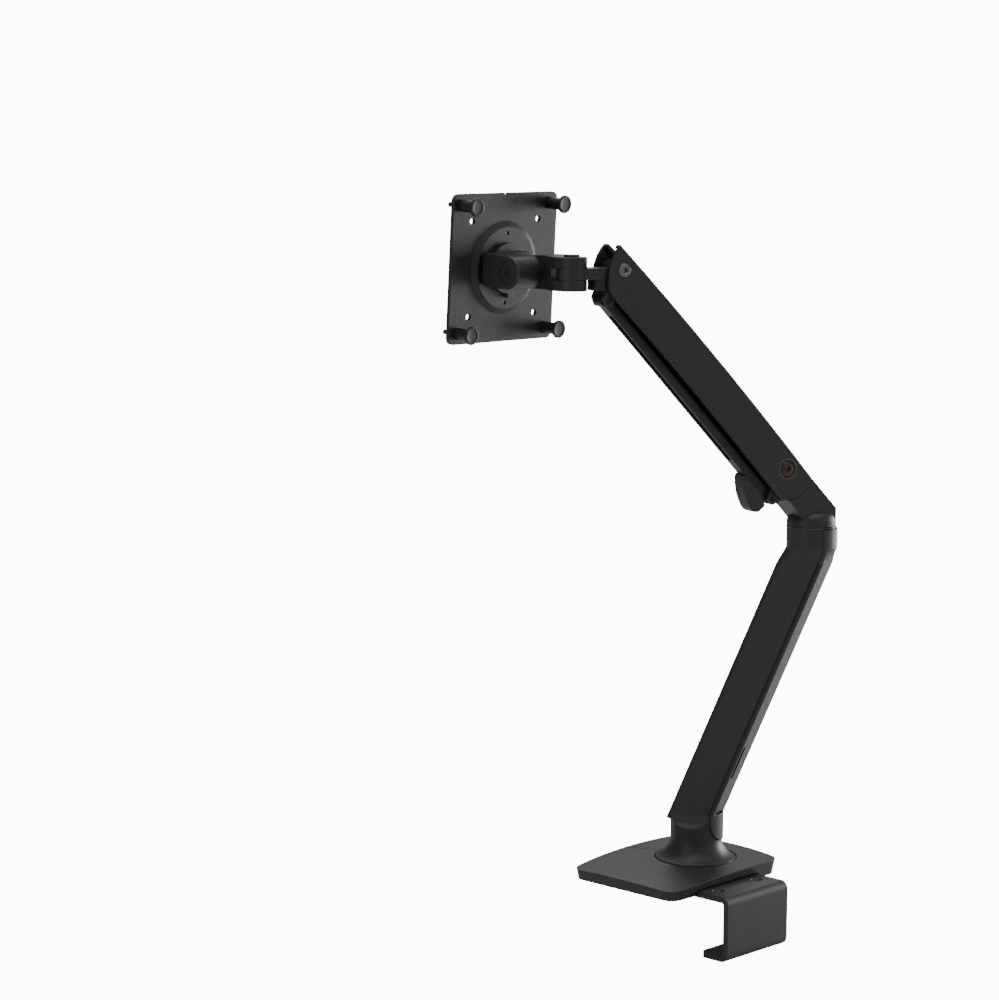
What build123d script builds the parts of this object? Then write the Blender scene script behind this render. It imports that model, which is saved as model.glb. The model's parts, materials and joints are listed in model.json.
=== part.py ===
"""Desk-clamp monitor arm with a gas spring, modelled at its real size.

Units are millimetres. The origin lies on the base swivel axis at the desk top, +Z is up and
+Y points over the desk edge that the clamp hooks on. The arm stands in a raised working pose.
"""
from build123d import *
from math import atan2, cos, degrees, radians, sin, sqrt
import os

# ---------------------------------------------------------------- working pose
lean_azimuth = 109.5        # heading of the lower arm's lean, from +X
arm_azimuth = -17.9         # heading of the upper arm
arm_pitch = 46.6            # upper arm above the horizontal
screen_tilt = 3.1           # screen faces up by this much

# ---------------------------------------------------------------- reach and heights
elbow_offset = 96.6         # base axis to elbow axis, level
elbow_height = 304.0        # desk to the elbow joint face
rear_pin_offset = 32.9      # elbow axis to the rear pivot, level
rear_pin_rise = 49.7        # elbow joint face up to the rear pivot
arm_length = 226.1          # rear pivot to front pivot
link_offset = 12.0          # levelling link's pins ahead of the arm's pins
link_drop = 24.0            # levelling link's pins below the arm's pins
head_reach = 40.0           # front pivot to the head's vertical axis
head_drop = 2.7             # front pivot down to the middle of the head lug
tilt_reach = 40.1           # head axis to the tilt axis
plate_reach = 36.0          # tilt axis to the mounting face

# ---------------------------------------------------------------- clearances
face_gap = 0.3              # between faces that slide past each other
run_gap = 0.05              # radial running clearance of shafts in bores
seam = 0.4                  # visible joint between covers

# ---------------------------------------------------------------- base
base_right, base_left = 92.5, -47.5      # ends of the base along the desk edge
base_rear, base_front = 54.0, -60.0      # towards the clamp, and away from it
base_corner = 14.0
bow_x, bow_y = 6.5, 5.0                  # how far the two free sides bow out
dome_radius = 1300.0
dome_x, dome_y, dome_top = -20.0, -10.0, 15.2
cover_wall = 2.4
side_draft = 2.8            # the covers' sides run in this much towards the desk
skirt_lift = 1.2                         # covers stop this far above the desk
pad_thick = 1.5
cover_recess = 0.7          # between the covers and the flare
rib_wall = 5.0              # casting's rim, and the metal round its pockets
floor_top = 6.0             # casting's floor inside its pockets
screw_boss = 9.0            # metal round each clamp screw
seam_angle_a, seam_angle_b = -76.0, 208.0

# ---------------------------------------------------------------- desk clamp
bracket_thick = 5.0
bracket_width = 78.0
bracket_centre = 20.0
bracket_reach = 84.5        # outer face of the bracket's web
bracket_drop = 49.5         # desk top to the underside of the lip
lip_length = 29.0
flange_inner = 26.0         # where the flange ends under the base
bend_radius = 7.0
bracket_hole_pitch = 50.0
bracket_hole_y = 62.5
bracket_hole_radius = 2.6
clamp_screw_x = (-14.0, 54.0)
clamp_screw_y = -40.0
clamp_screw_radius = 4.0
clamp_screw_top = 9.6
clamp_plate_end = 14.0      # pressure plate beyond each screw
clamp_plate_half = 12.0
clamp_pad_low = 0.1         # underside of the pressure pad above the desk
clamp_plate_low, clamp_plate_high = 1.6, 4.1
clamp_tail_radius = 2.5     # lower end of each screw, held in the plate
clamp_hex = 4.0
rivet_radius, rivet_head, rivet_top = 2.5, 4.6, 9.5

# ---------------------------------------------------------------- base column and lower arm
column_radius = 21.6
flare_radius = 34.0
flare_bottom = 10.6
flare_edge = 15.0
flare_top = 33.0
column_top = 54.0
spindle_radius = 10.0
spindle_top = 58.0
foot_radius, foot_top = 24.0, 4.5        # spindle's flange below the casting
collar_wall, collar_top = 5.0, 9.0
foot_screw_circle = 19.5
foot_screw_angles = (30, 150, 270)
foot_screw_radius, foot_screw_top = 2.4, 8.4
foot_head_radius, foot_head_top = 4.2, 2.9
groove_low, groove_high = 3.2, 1.7       # circlip groove below the spindle's top
groove_depth = 1.2
circlip_proud = 1.1
circlip_mouth = 3.0
washer_wide = 6.0           # thrust washer beyond the bush
bush_wall = 3.0
bush_length = 12.0
beam_front, beam_back = 21.9, 17.7       # level reach of the beam before and behind its axis
beam_width = 29.0
beam_crown = 1.2
beam_corner = 5.5           # rounding of the two front corners
beam_crease = 1.2           # rounding of the two back corners
beam_low = 48.0             # foot of the beam's straight stretch
beam_high = elbow_height - 31.0          # top of the beam's straight stretch
scoop_radius = 12.0         # hollow above each side of the column
boss_radius = 20.2
boss_bottom = elbow_height - 18.0
elbow_spindle_radius = 9.0
elbow_spindle_foot = elbow_height - 30.0
elbow_spindle_rise = 13.0
shoulder_height = 12.5      # elbow joint face to the crown of the knuckle's round end
shoulder_round = 9.2
ring_thick = 1.2
strip_proud = 1.5
strip_width = 27.4
strip_bottom = 31.0
channel_width = 15.0
lean_start = 51.5           # height where the beam's axis meets the base axis
lean_end = elbow_height - 20.8           # height where it meets the elbow axis
channel_depth = 7.0
slot_height, slot_length, slot_width, slot_side = 101.0, 31.0, 5.5, -8.5

# ---------------------------------------------------------------- upper arm
casing_width = 27.0
casing_wall = 3.2
casing_top = 11.6           # top edge above the pins, at the ends
casing_arch = 2.0
casing_bottom = 21.8        # lower edge below the pins, at the ends
casing_hollow = 2.4         # lower edge rises this much at mid length
casing_round = 1.2          # bevel of the long top edges
casing_end = 25.5           # rear end radius about the rear pivot
ear_tip = 16.6
notch_depth = 13.0
knuckle_under = 16.7
knuckle_over = 11.0
pivot_radius = 5.0
pivot_head = 7.6
front_pin_radius = 4.0
front_head_radius = 5.9
link_width = 11.0
link_height = 7.0
link_pin_radius = 2.5
link_eye = 5.0
clip_half = 7.0             # half the cable clip's width
clip_wall = 1.8

# ---------------------------------------------------------------- gas spring
spring_crank = 12.0         # crank pin from the rear pivot
crank_angle = -77.5         # heading of the crank pin below the level
crank_radius = 2.5
rod_radius = 3.5
tube_radius = 8.0
tube_start = 74.0
tube_end = arm_length - 44.1
rod_slot_gap = 0.8
tension_radius = 3.0
tension_pitch = 1.5
tension_travel = 8.0
tension_engaged = 3.0       # tension screw inside its nut at rest
tension_nut_long = 7.0
tube_plug = 12.0            # solid end of the tube
yoke_half = 3.0             # half the yoke's thickness
yoke_wall, yoke_foot = 2.2, 1.4          # metal behind the yoke's slot, and below it
yoke_top = 3.6
piston_start, piston_long = 46.0, 6.0    # from the tube's open end
piston_proud = 2.1

# ---------------------------------------------------------------- head
disc_radius = 12.0
lug_thick = 8.8
fork_thick = 8.4
fork_gap = 0.35
head_screw_radius = 4.0
front_bush_wall, head_bush_wall = 1.2, 1.5
head_nut_across, head_nut_high = 12.8, 3.7
head_cap_radius, head_cap_rise = 6.2, 1.9
barrel_radius = 13.0
barrel_near, barrel_far, barrel_split = 31.0, -27.0, 3.6
tilt_screw_radius = 4.0
tilt_cap_radius = 8.6
tilt_cap_seat = 2.0
tilt_nut_radius = 7.3
turn_radius = 20.0
turn_thick = 3.0
turn_wall = 3.4             # tilt block's foot between the boss and the turning nut
turn_shaft_radius = 5.0
turn_nut_radius = 8.2

# ---------------------------------------------------------------- mounting plate
plate_side = 118.0
plate_thick = 3.0
plate_corner = 6.0
dish_radius = 32.5
dish_bevel = 4.5
dish_rise = 3.0
small_pitch = 75.0
large_pitch = 100.0
plate_hole_radius = 2.7
thumb_head_radius = 7.25
thumb_head_thick = 2.8
thumb_neck_radius = 4.75
thumb_reach = 15.0
thumb_thread_radius = 1.95
thumb_thread_length = 11.0
thumb_shank_radius = 1.5    # thinner shank where the screw passes the plate
thumb_shank_end = 0.6       # shank beyond the plate before the thread starts
small_holes = ((27.6, 0), (15, 1.5), (13.5, -9), (-13.5, -11), (-27.6, 0), (-14, 11))
small_hole_radius = 1.5
boss_screw_circle = 13.5
boss_screw_radius, boss_screw_head = 1.6, 2.8
stop_reach, stop_width = 3.5, 6.0        # turning stop beyond the boss
shaft_flange = 9.0

# ---------------------------------------------------------------- places that follow
elbow_x = elbow_offset * cos(radians(lean_azimuth))
elbow_y = elbow_offset * sin(radians(lean_azimuth))
heading = (cos(radians(arm_azimuth)), sin(radians(arm_azimuth)))
arm_level = arm_length * cos(radians(arm_pitch))
arm_rise = arm_length * sin(radians(arm_pitch))
rear_pin = Vector(elbow_x + rear_pin_offset * heading[0],
                  elbow_y + rear_pin_offset * heading[1],
                  elbow_height + rear_pin_rise)
front_pin = rear_pin + Vector(arm_level * heading[0], arm_level * heading[1], arm_rise)
head_axis = front_pin + Vector(head_reach * heading[0], head_reach * heading[1], -head_drop)
tilt_axis = head_axis + Vector(0, -tilt_reach, 0)

lean_frame = Location((0, 0, 0), (0, 0, lean_azimuth))
elbow_frame = Location((elbow_x, elbow_y, elbow_height), (0, 0, arm_azimuth))
knuckle_pin_frame = Location(tuple(rear_pin), (0, 0, arm_azimuth))
arm_frame = knuckle_pin_frame * Location((0, 0, 0), (0, -arm_pitch, 0))
clevis_frame = Location(tuple(front_pin), (0, 0, arm_azimuth))
fork_frame = Location(tuple(head_axis), (0, 0, -90))
tilt_frame = Location(tuple(tilt_axis), (0, 0, -90)) * Location((0, 0, 0), (0, -screen_tilt, 0))

yoke_reach = -spring_crank * cos(radians(crank_angle - arm_pitch)) + crank_radius + rod_slot_gap + yoke_wall
yoke_depth = spring_crank + crank_radius + rod_slot_gap + yoke_foot
yoke_swing = sqrt(yoke_reach ** 2 + yoke_depth ** 2) + 2 * face_gap

parts = {}


def post(radius, low, high, x=0.0, y=0.0):
    """Upright cylinder from one height to another."""
    return Pos(x, y, (low + high) / 2) * Cylinder(radius, high - low)


def block(x0, x1, y0, y1, z0, z1):
    """Box between two corners."""
    return Pos((x0 + x1) / 2, (y0 + y1) / 2, (z0 + z1) / 2) * Box(x1 - x0, y1 - y0, z1 - z0)


def cross_pin(radius, y0, y1, x=0.0, z=0.0):
    """Cylinder along Y."""
    return Pos(x, (y0 + y1) / 2, z) * Rot(90, 0, 0) * Cylinder(radius, y1 - y0)


def long_pin(radius, x0, x1, y=0.0, z=0.0):
    """Cylinder along X."""
    return Pos((x0 + x1) / 2, y, z) * Rot(0, 90, 0) * Cylinder(radius, x1 - x0)


def hex_post(across, low, high, x=0.0, y=0.0):
    """Upright hexagonal prism, given its size across flats."""
    return Pos(x, y, low) * extrude(RegularPolygon(across / sqrt(3), 6), high - low)


def side_plate(wire_points, y0, y1):
    """Prism across Y from an outline of (x, z) points; three-item entries are arcs (mid, end)."""
    edges = []
    start = wire_points[0]
    for item in wire_points[1:]:
        if isinstance(item[0], tuple):
            mid, end = item
            edges.append(ThreePointArc(start, mid, end))
        else:
            end = item
            edges.append(Line(start, end))
        start = end
    if start != wire_points[0]:
        edges.append(Line(start, wire_points[0]))
    face = make_face(edges)
    return Pos(0, y1, 0) * Rot(90, 0, 0) * extrude(face, y1 - y0)


def arc_mid(centre, radius, start_angle, end_angle):
    """Point half way along an arc."""
    middle = radians((start_angle + end_angle) / 2)
    return (centre[0] + radius * cos(middle), centre[1] + radius * sin(middle))


def keep(name, shape, frame=None):
    """Store a sub-part, placed in its frame."""
    parts[name] = frame * shape if frame is not None else shape


# ================================================================ base
def base_outline(inset):
    """Outline of the base: a rounded square whose two free sides bow out."""
    x0, x1 = base_left + inset, base_right - inset
    y0, y1 = base_front + inset, base_rear - inset
    mid_x, mid_y = (x0 + x1) / 2, (y0 + y1) / 2
    edges = [Line((x0, y1), (x1, y1)),
             Line((x1, y1), (x1, y0)),
             ThreePointArc((x1, y0), (mid_x, y0 - bow_y), (x0, y0)),
             ThreePointArc((x0, y0), (x0 - bow_x, mid_y), (x0, y1))]
    face = make_face(edges)
    return fillet(face.vertices(), base_corner - inset)


def dome(drop):
    """Large ball whose top is the crowned top of the base, lowered by a wall."""
    return Pos(dome_x, dome_y, dome_top - dome_radius) * Sphere(dome_radius - drop)


def sector(start, end, reach, low, high, shrink=0.0):
    """Wedge about the column axis, with its two flat sides moved in."""
    middle = radians((start + end) / 2)
    half = radians((end - start) / 2)
    points = [(0, 0), (reach * cos(-half), reach * sin(-half)), (2 * reach, 0),
              (reach * cos(half), reach * sin(half))]
    back = shrink / sin(half)
    return (Rot(0, 0, degrees(middle)) * Pos(back, 0, low)
            * extrude(make_face(Polyline(*points, close=True)), high - low))


bracket_x0 = bracket_centre - bracket_width / 2
bracket_x1 = bracket_centre + bracket_width / 2
bracket_slot = block(bracket_x0 - face_gap, bracket_x1 + face_gap, flange_inner - face_gap,
                     base_rear + 5, -1, bracket_thick + face_gap)


def make_base():
    """Casting, covers, pad and the fixed post of the base."""
    high = dome_top + 5
    recess = flare_radius + cover_recess
    rise = dome_top - skirt_lift
    foot_outline = Pos(0, 0, skirt_lift) * base_outline(side_draft)
    shell = extrude(foot_outline, rise, taper=-degrees(atan2(side_draft, rise))) & dome(0)
    inner = extrude(base_outline(side_draft + cover_wall), high) & dome(cover_wall)
    cover = shell - inner - post(recess, 0, high) - bracket_slot
    cover = cover - block(bracket_x0 - 1, bracket_x1 + 1, base_rear - 10, base_rear + 10,
                          -1, bracket_thick + 1.0)
    corner = sector(seam_angle_b, 360 + seam_angle_a, 200, -5, 60)
    corner_cut = sector(seam_angle_b - 0.6, 360 + seam_angle_a + 0.6, 200, -5, 60)
    keep("front_cover", cover - corner_cut)
    keep("rear_cover", cover & corner)

    rim = base_outline(side_draft + cover_wall + face_gap)
    body = extrude(Pos(0, 0, pad_thick) * rim, high) & dome(cover_wall + face_gap)
    pocket = extrude(Pos(0, 0, floor_top) * base_outline(side_draft + cover_wall + rib_wall), high)
    pocket = pocket - post(recess + rib_wall, 0, high)
    pocket = pocket - block(bracket_x0 - rib_wall, bracket_x1 + rib_wall, flange_inner - rib_wall,
                            base_rear, 0, high)
    body = body - pocket
    for x in clamp_screw_x:
        boss = post(screw_boss, pad_thick, high, x, clamp_screw_y)
        body = body + (boss & dome(cover_wall + face_gap))
        body = body - post(clamp_screw_radius + run_gap, 0, high, x, clamp_screw_y)
    well_gap = clamp_plate_half + face_gap
    plate_well = block(clamp_screw_x[0] - clamp_plate_end - face_gap,
                       clamp_screw_x[1] + clamp_plate_end + face_gap,
                       clamp_screw_y - well_gap, clamp_screw_y + well_gap,
                       -1, clamp_plate_high + face_gap)
    body = body - plate_well - bracket_slot - post(recess, flare_bottom - 1.4, high)
    foot_room = foot_radius + run_gap
    body = body - post(spindle_radius + collar_wall + run_gap, 0, high)
    body = body - post(foot_room, -1, foot_top + run_gap)
    keep("base_casting", body)

    pad = extrude(base_outline(side_draft + cover_wall + 1), pad_thick) - bracket_slot - plate_well
    pad = pad - post(foot_room, -1, high)
    keep("base_pad", pad)

    spindle = post(foot_radius, pad_thick, foot_top)
    spindle = spindle + post(spindle_radius + collar_wall, foot_top, collar_top)
    spindle = spindle + post(spindle_radius, collar_top, spindle_top)
    groove = post(spindle_radius + 1, spindle_top - groove_low, spindle_top - groove_high)
    groove = groove - post(spindle_radius - groove_depth, 0, spindle_top)
    keep("base_spindle", spindle - groove)
    group = []
    for angle in foot_screw_angles:
        x = foot_screw_circle * cos(radians(angle))
        y = foot_screw_circle * sin(radians(angle))
        head = post(foot_head_radius, pad_thick, foot_head_top, x, y)
        group.append(head + post(foot_screw_radius, foot_head_top, foot_screw_top, x, y))
    fastened = group[0] + group[1] + group[2]
    parts["base_spindle"] = parts["base_spindle"] - fastened
    parts["base_casting"] = parts["base_casting"] - fastened
    keep("spindle_screws", Compound(group))


def make_clamp():
    """Bent steel hook, and the plate that two screws push down on the desk."""
    outer = bracket_reach
    low, high = -bracket_drop, bracket_thick
    r = bend_radius
    t = bracket_thick
    lip_end = outer - lip_length
    outline = [(flange_inner, high), (outer - r, high),
               (arc_mid((outer - r, high - r), r, 90, 0), (outer, high - r)),
               (outer, low + r), (arc_mid((outer - r, low + r), r, 0, -90), (outer - r, low)),
               (lip_end, low), (lip_end, low + t), (outer - r, low + t),
               (arc_mid((outer - r, low + r), r - t, -90, 0), (outer - t, low + r)),
               (outer - t, high - r),
               (arc_mid((outer - r, high - r), r - t, 0, 90), (outer - r, high - t)),
               (flange_inner, high - t)]
    hook = side_plate(outline, -bracket_width / 2, bracket_width / 2)
    hook = Pos(bracket_centre, 0, 0) * Rot(0, 0, 90) * hook
    tip = [e for e in hook.edges().filter_by(Axis.Z)
           if e.center().Z < low + t + 1 and e.center().Y < lip_end + 1]
    hook = fillet(tip, 6.0)
    holes = [(bracket_centre + s * bracket_hole_pitch / 2, y)
             for s in (-1, 1) for y in (bracket_hole_y, flange_inner + 12)]
    for x, y in holes:
        hook = hook - post(bracket_hole_radius, -1, 10, x, y)
        hook = hook - Pos(x, y, bracket_thick - 1.3) * Cone(bracket_hole_radius, 5.2, 2.61)
    keep("clamp_bracket", hook)
    screws = []
    for s in (-1, 1):
        x, y = bracket_centre + s * bracket_hole_pitch / 2, flange_inner + 12
        screw = post(rivet_radius, 0.6, rivet_top, x, y) + post(rivet_head, 0.1, 0.6, x, y)
        screws.append(screw - hex_post(3, 0, 0.4, x, y))
    keep("bracket_screws", Compound(screws))
    for screw in screws:
        parts["base_casting"] = parts["base_casting"] - screw
        parts["clamp_bracket"] = parts["clamp_bracket"] - screw

    x0, x1 = clamp_screw_x[0] - clamp_plate_end, clamp_screw_x[1] + clamp_plate_end
    y0, y1 = clamp_screw_y - clamp_plate_half, clamp_screw_y + clamp_plate_half
    plate = block(x0, x1, y0, y1, clamp_plate_low, clamp_plate_high)
    plate = fillet(plate.edges().filter_by(Axis.Z), 5)
    foot_pad = block(x0 + 2, x1 - 2, y0 + 2, y1 - 2, clamp_pad_low, clamp_plate_low)
    foot_pad = fillet(foot_pad.edges().filter_by(Axis.Z), 4)
    for number, x in enumerate(clamp_screw_x, start=1):
        plate = plate - post(clamp_tail_radius + run_gap, 0, 10, x, clamp_screw_y)
        top = clamp_screw_top
        screw = post(clamp_screw_radius, clamp_plate_high + run_gap, top, x, clamp_screw_y)
        screw = chamfer(screw.edges().group_by(Axis.Z)[-1], 0.4)
        screw = screw + post(clamp_tail_radius, clamp_plate_low + run_gap, top - 4, x, clamp_screw_y)
        socket = hex_post(clamp_hex, top - 3.5, top + 1, x, clamp_screw_y)
        keep(f"clamp_screw_{number}", screw - socket)
    keep("pressure_plate", plate)
    keep("pressure_pad", foot_pad)


# ================================================================ lower arm
def lean_at(height):
    """Level shift of the beam's axis at a height."""
    low, high = lean_start, lean_end
    return elbow_offset * (height - low) / (high - low)


def beam_section(grow):
    """Level section of the beam, with crowned sides, round in front and crisp behind."""
    front = -beam_front - grow
    back = beam_back + grow
    middle = (front + back) / 2
    half = beam_width / 2 + grow
    corner = half - beam_crown
    edges = [ThreePointArc((front, -corner), (middle, -half), (back, -corner)),
             Line((back, -corner), (back, corner)),
             ThreePointArc((back, corner), (middle, half), (front, corner)),
             Line((front, corner), (front, -corner))]
    face = make_face(edges)
    face = fillet(face.vertices().filter_by(lambda v: v.X < middle), beam_corner + grow)
    behind = [v for v in face.vertices() if v.X > back - 0.01]
    return fillet(behind, beam_crease + grow / 3)


def lower_arm_shape(grow, low):
    """Outside of the lower arm: scooped column, beam, blend and elbow boss."""
    straight_low = Pos(lean_at(beam_low), 0, beam_low) * beam_section(grow)
    run = Vector(lean_at(beam_high) - lean_at(beam_low), 0, beam_high - beam_low)
    beam = extrude(straight_low, run.length, dir=run)
    straight_high = Pos(lean_at(beam_high), 0, beam_high) * beam_section(grow)
    crown = Pos(elbow_offset, 0, boss_bottom) * Circle(boss_radius + grow)
    head_blend = loft([straight_high, crown])
    column = post(column_radius + grow, low, column_top)
    for side in (-1, 1):
        hollow = beam_width / 2 + scoop_radius
        column = column - long_pin(scoop_radius - grow, -60, 60, side * hollow, column_top)
    boss = post(boss_radius + grow, boss_bottom, elbow_height - ring_thick, elbow_offset)
    return column + beam + head_blend + boss


def make_lower_arm():
    """Hollow casting with the cable strip on its underside, and what runs inside it."""
    flare_centre_r = ((flare_radius - 0.6 - column_radius) ** 2
                      + (flare_top - flare_edge) ** 2) / (2 * (flare_radius - 0.6 - column_radius))
    sweep_angle = degrees(atan2(flare_top - flare_edge,
                                flare_centre_r - (flare_radius - 0.6 - column_radius)))
    centre = (column_radius + flare_centre_r, flare_top)
    mid = (centre[0] - flare_centre_r * cos(radians(sweep_angle / 2)),
           centre[1] - flare_centre_r * sin(radians(sweep_angle / 2)))
    profile = make_face([Line((spindle_radius + 1, flare_bottom), (flare_radius, flare_bottom)),
                         Line((flare_radius, flare_bottom), (flare_radius, flare_edge - 0.4)),
                         Line((flare_radius, flare_edge - 0.4), (flare_radius - 0.6, flare_edge)),
                         ThreePointArc((flare_radius - 0.6, flare_edge), mid,
                                       (column_radius, flare_top)),
                         Line((column_radius, flare_top), (spindle_radius + 1, flare_top)),
                         Line((spindle_radius + 1, flare_top), (spindle_radius + 1, flare_bottom))])
    flare = revolve(Plane.XZ * profile, Axis.Z)
    outside = lower_arm_shape(0, flare_top - 1) + flare
    bush_outer = spindle_radius + run_gap + bush_wall
    bore = post(spindle_radius + 1.2, flare_bottom - 1, spindle_top + 3)
    bore = bore + post(bush_outer, flare_bottom - 1, flare_bottom + bush_length)
    bore = bore + post(bush_outer, spindle_top - 4.2 - bush_length, spindle_top + 3)
    washer_seat = post(bush_outer + washer_wide, flare_bottom - 1, flare_bottom + 1.0)
    arm = outside - bore - washer_seat

    strip_zone = block(0, elbow_offset + 60, -strip_width / 2, strip_width / 2,
                       strip_bottom + strip_width / 2, elbow_height - ring_thick - 0.6)
    tab = Pos(30, 0, strip_bottom + strip_width / 2) * Rot(0, 90, 0) * Cylinder(strip_width / 2, 60)
    behind = extrude(make_face(Polyline((lean_at(0), 0), (lean_at(0) + 200, 0),
                                        (lean_at(330) + 200, 330), (lean_at(330), 330),
                                        close=True)), 60, both=True)
    behind = Rot(90, 0, 0) * behind
    zone = (strip_zone + tab) & behind
    grown = lower_arm_shape(strip_proud, flare_top - 3)
    strip = (grown & zone) - lower_arm_shape(0, flare_top - 4) - flare
    lean_angle = degrees(atan2(lean_at(200) - lean_at(100), 100))
    slot = Pos(lean_at(slot_height) + beam_back, slot_side, slot_height) * Rot(0, lean_angle, 0)
    slot_tool = slot * Rot(0, 90, 0) * extrude(SlotOverall(slot_length, slot_width), 30, both=True)
    keep("cable_strip", strip - slot_tool, lean_frame)

    run = Vector(lean_at(beam_high) - lean_at(beam_low), 0, beam_high - beam_low)
    channel_face = Pos(lean_at(beam_low) + beam_back, 0, beam_low) * Rectangle(
        2 * channel_depth, channel_width)
    channel = extrude(channel_face, run.length, dir=run)
    arm = arm - channel
    spindle_hole = post(elbow_spindle_radius, elbow_spindle_foot, elbow_height + 5, elbow_offset)
    arm = arm - spindle_hole
    keep("lower_arm", arm, lean_frame)

    lower_bush = post(bush_outer, flare_bottom + 1.0, flare_bottom + bush_length)
    lower_bush = lower_bush - post(spindle_radius + run_gap, 0, 80)
    top = spindle_top - 4.2
    upper_bush = post(bush_outer, top - bush_length, top) - post(spindle_radius + run_gap, 0, 80)
    keep("column_bushes", Compound([lower_bush, upper_bush]))
    washer = post(bush_outer + washer_wide - 0.1, flare_bottom - 1.35, flare_bottom + 0.9)
    keep("thrust_washer", washer - post(spindle_radius + run_gap, 0, 80))
    clip_low = spindle_top - groove_low + 0.1
    clip_high = spindle_top - groove_high - 0.1
    circlip = post(spindle_radius + circlip_proud, clip_low, clip_high)
    circlip = circlip - post(spindle_radius - groove_depth + run_gap, 0, spindle_top)
    mouth = block(0, 2 * spindle_radius, -circlip_mouth, circlip_mouth, 0, spindle_top)
    keep("column_circlip", circlip - mouth)


# ================================================================ elbow
def make_elbow():
    """Post and bushes of the elbow, and the knuckle that carries the upper arm."""
    post_shape = post(elbow_spindle_radius, elbow_spindle_foot, elbow_height + elbow_spindle_rise,
                      elbow_offset)
    keep("elbow_spindle", post_shape, lean_frame)
    ring = post(boss_radius + 0.25, -ring_thick + 0.05, -0.05)
    ring = ring - post(elbow_spindle_radius + 0.3, -5, 5)
    keep("elbow_ring", ring, elbow_frame)

    bush_outer = elbow_spindle_radius + run_gap + 2.5
    rise = elbow_spindle_rise
    low = face_gap
    frame = Location((rear_pin_offset, 0, rear_pin_rise), (0, -arm_pitch, 0))
    half = casing_width / 2
    seat = casing_end + 0.5
    tongue = frame * (block(-75, 0, -half, half, -knuckle_under, knuckle_over)
                      - cross_pin(seat, -half - 1, half + 1))
    column = post(boss_radius, low, shoulder_height)
    column = fillet(column.edges().group_by(Axis.Z)[-1], shoulder_round)
    footprint = post(boss_radius, low, 100) + block(0, 100, -half, half, low, 100)
    body = column + (tongue & footprint)
    inner_half = half - casing_wall - face_gap
    neck = frame * block(-40, 0, -inner_half, inner_half, -knuckle_under + 1.5,
                         knuckle_over - casing_wall - 1)
    hub = frame * cross_pin(8.2, -inner_half, inner_half)
    link_x, link_z = link_offset, -link_drop
    lobe = Pos(rear_pin_offset, 0, rear_pin_rise) * (
        side_plate([(-2, 4), (8, 0), (link_x + 5.2, link_z), (link_x, link_z - 5.2),
                    (link_x - 6, link_z - 3), (-14, -14)], -inner_half, inner_half))
    body = body + neck + hub + lobe

    slot_half = link_width / 2 + face_gap
    link_room = Pos(rear_pin_offset, 0, rear_pin_rise) * (
        cross_pin(link_eye + 1.4, -slot_half, slot_half, link_x, link_z))
    sweep_room = frame * block(-8, 60, -slot_half, slot_half, -60, -knuckle_under - 1.2)
    low_room = Pos(rear_pin_offset, 0, rear_pin_rise) * block(
        0, 60, -slot_half, slot_half, link_z - 12, link_z + 6.3)
    rod_half = yoke_half + 2 * face_gap
    rod_room = frame * block(-22, 40, -rod_half, rod_half, -19.5, 5.5)
    rod_room = rod_room + frame * cross_pin(yoke_swing, -rod_half, rod_half)
    crank = Pos(rear_pin_offset, 0, rear_pin_rise) * cross_pin(
        crank_radius, -inner_half, inner_half,
        spring_crank * cos(radians(crank_angle)), spring_crank * sin(radians(crank_angle)))
    pivots = frame * cross_pin(pivot_radius + 1.5 + run_gap, -half, half)
    link_bore = Pos(rear_pin_offset, 0, rear_pin_rise) * cross_pin(
        link_pin_radius, -half, half, link_x, link_z)
    body = body - link_room - sweep_room - low_room - rod_room - crank - pivots - link_bore
    body = body - post(bush_outer, 0, rise + 2.0) - post(bush_outer + 2.0, 0, 1.6)
    keep("elbow_knuckle", body, elbow_frame)
    keep("crank_pin", crank, elbow_frame)

    bore = post(elbow_spindle_radius + run_gap, -5, 60)
    flanged = post(bush_outer, 1.6, rise - 0.8) + post(bush_outer + 1.95, 0.1, 1.6) - bore
    keep("elbow_bush", flanged, elbow_frame)
    cap = post(bush_outer - 0.6, rise, rise + 1.6) - hex_post(5, rise + 0.7, rise + 3)
    keep("elbow_retainer", cap, elbow_frame)

    bush = cross_pin(pivot_radius + 1.5, 4.2, inner_half)
    bush = bush - cross_pin(pivot_radius + run_gap, -20, 20)
    keep("pivot_bushes", Compound([bush, Rot(0, 0, 180) * bush]), arm_frame)
    link_pin = cross_pin(link_pin_radius, -inner_half, inner_half, link_x, link_z)
    keep("link_rear_pin", link_pin, knuckle_pin_frame)


# ================================================================ upper arm
def casing_outline(shrink):
    """Side view of the casing: arched top, round rear end, swept front end."""
    top = casing_top - shrink
    bottom = casing_bottom - shrink
    end = casing_end - shrink
    length = arm_length
    rear_top = (-sqrt(end ** 2 - top ** 2), top)
    rear_low = (-sqrt(end ** 2 - 20.0 ** 2), -20.0)
    tip = (length + ear_tip, top - 0.6)
    return [rear_top, ((length / 2, top + casing_arch), tip),
            ((length + 12.4, -5.0), (length + 4.5, -15.6)),
            ((length + 0.5, -19.2), (length - 7.0, -bottom)),
            ((length / 2, -bottom + casing_hollow), (-9.0, -bottom)),
            rear_low,
            (arc_mid((0, 0), end, 180 + degrees(atan2(20.0, sqrt(end ** 2 - 400.0))),
                     180 - degrees(atan2(top, sqrt(end ** 2 - top ** 2)))), rear_top)]


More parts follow.
